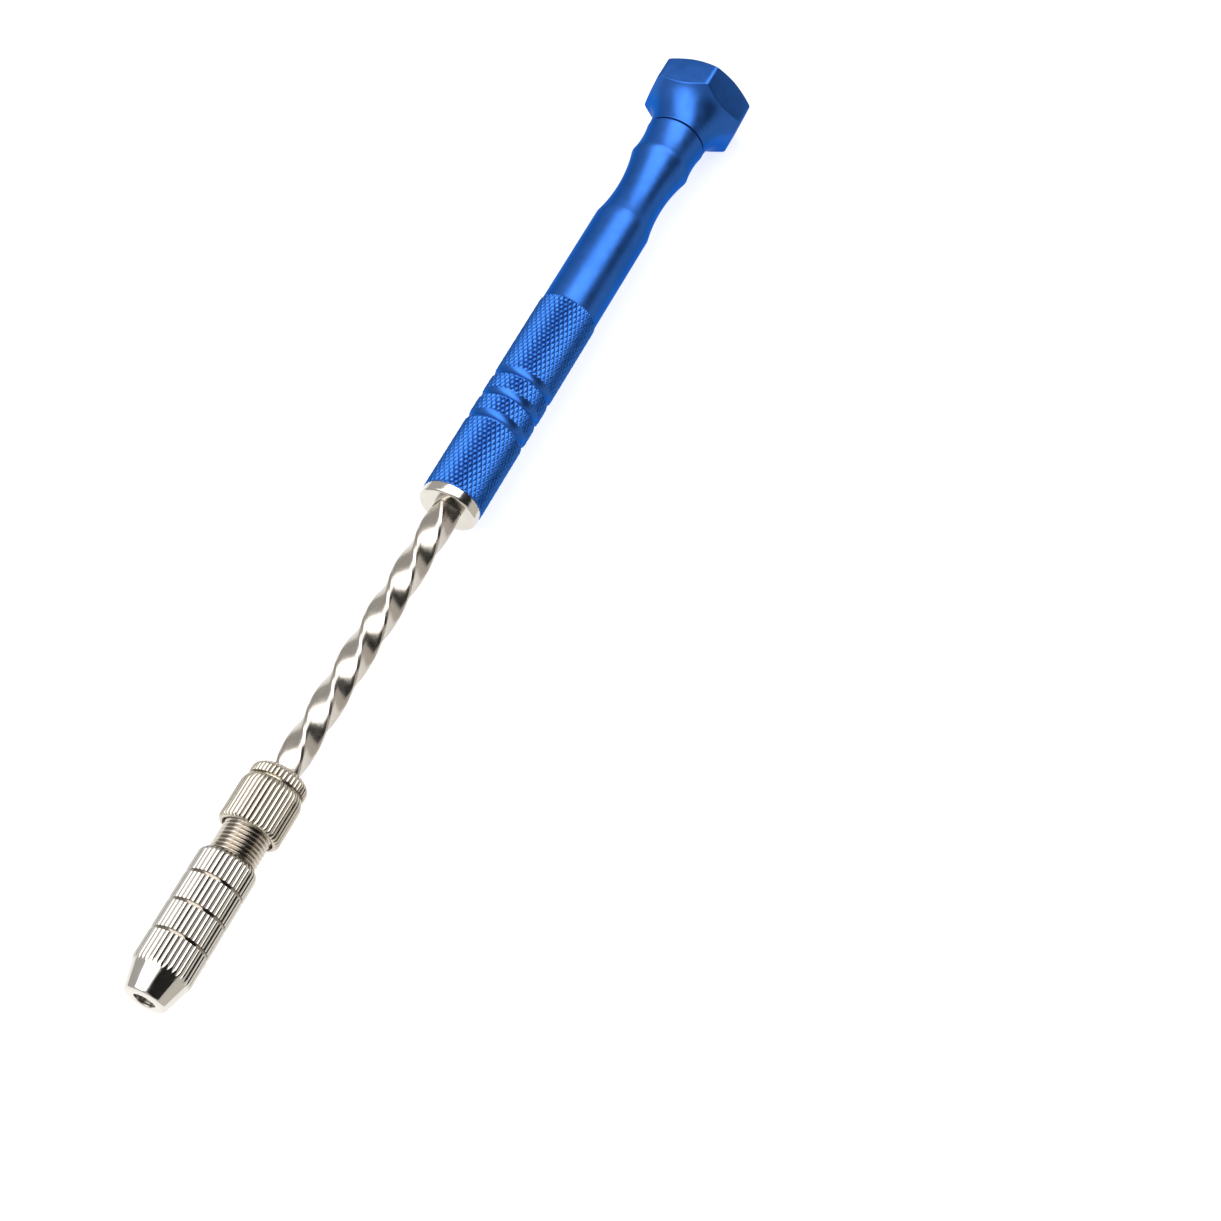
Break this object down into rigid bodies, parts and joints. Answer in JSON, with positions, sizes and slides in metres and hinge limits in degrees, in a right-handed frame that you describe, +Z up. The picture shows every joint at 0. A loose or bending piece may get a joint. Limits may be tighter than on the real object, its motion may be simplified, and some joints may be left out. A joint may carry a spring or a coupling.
{
  "type": "pin vise drill",
  "caption": "Push-type hand drill: a free-turning hexagonal palm cap, knurled tube handle with return spring, twisted square spindle and collet chuck with a screwed nose cap.",
  "frame": {"origin": "on the spindle axis at the mouth of the collet, where a drill bit goes in", "axes": "+X along the spindle, out of the nose; +Z up with a flat of the hexagonal cap facing down; +Y to the left, seen from behind the nose"},
  "size_m": [0.2052, 0.0204, 0.0176],
  "materials": {
    "handle_blue": "satin blue anodised, diamond knurled grip",
    "cap_blue": "satin blue anodised, lightly blasted",
    "nickel": "bright nickel plate over a straight knurl",
    "nickel_nose": "bright nickel plate, polished cone, straight knurl",
    "nickel_thread": "bright nickel plate on a fine thread",
    "spindle_steel": "bright nickel plate, ground lands",
    "collet_steel": "fine turned, lightly oiled",
    "spring_steel": "drawn wire, satin",
    "bearing_steel": "polished",
    "plain_steel": "fine turned",
    "pin_steel": "ground",
    "brass": "fine turned",
    "fibre": "matt vulcanised fibre",
    "nylon": "matt"
  },
  "bodies": {
    "handle": {"handle_tube": "handle_blue", "guide_nut": "nickel", "buffer_washer": "fibre", "spring_plate": "plain_steel", "pivot_washer": "brass", "thrust_washer": "nylon"},
    "follower": {"spring_follower": "brass", "thrust_ball": "bearing_steel", "return_spring": "spring_steel"},
    "spindle": {"spiral_rod": "spindle_steel", "rod_head": "plain_steel", "head_pin": "pin_steel", "chuck_body": "nickel_thread", "rod_pin": "pin_steel", "rear_sleeve": "nickel"},
    "collet": {"collet": "collet_steel"},
    "nose": {"nose_cap": "nickel_nose"},
    "cap": {"swivel_cap": "cap_blue", "pivot_screw": "plain_steel"}
  },
  "joints": [
    {"name": "push_stroke", "type": "slide", "parent": "handle", "child": "follower", "axis": [-1, 0, 0], "range_m": [0, 0.05], "stiffness_N_per_m": 140, "springref_m": -0.021, "deforming": ["return_spring"]},
    {"name": "spindle_spin", "type": "hinge", "parent": "follower", "child": "spindle", "pos_m": [0, 0, 0], "axis": [1, 0, 0], "range_deg": [0, 473.69]},
    {"name": "nose_turn", "type": "hinge", "parent": "collet", "child": "nose", "pos_m": [0, 0, 0], "axis": [1, 0, 0], "range_deg": [0, 1080.1]},
    {"name": "collet_slide", "type": "slide", "parent": "spindle", "child": "collet", "axis": [1, 0, 0], "range_m": [0, 0.00225]},
    {"name": "cap_swivel", "type": "hinge", "parent": "handle", "child": "cap", "pos_m": [-0.192, 0, 0], "axis": [1, 0, 0], "continuous": true}
  ],
  "couplings": [
    {"joint": "spindle_spin", "follows": "push_stroke", "rad_per_m": 165.35},
    {"joint": "nose_turn", "follows": "collet_slide", "rad_per_m": 8377.6}
  ]
}
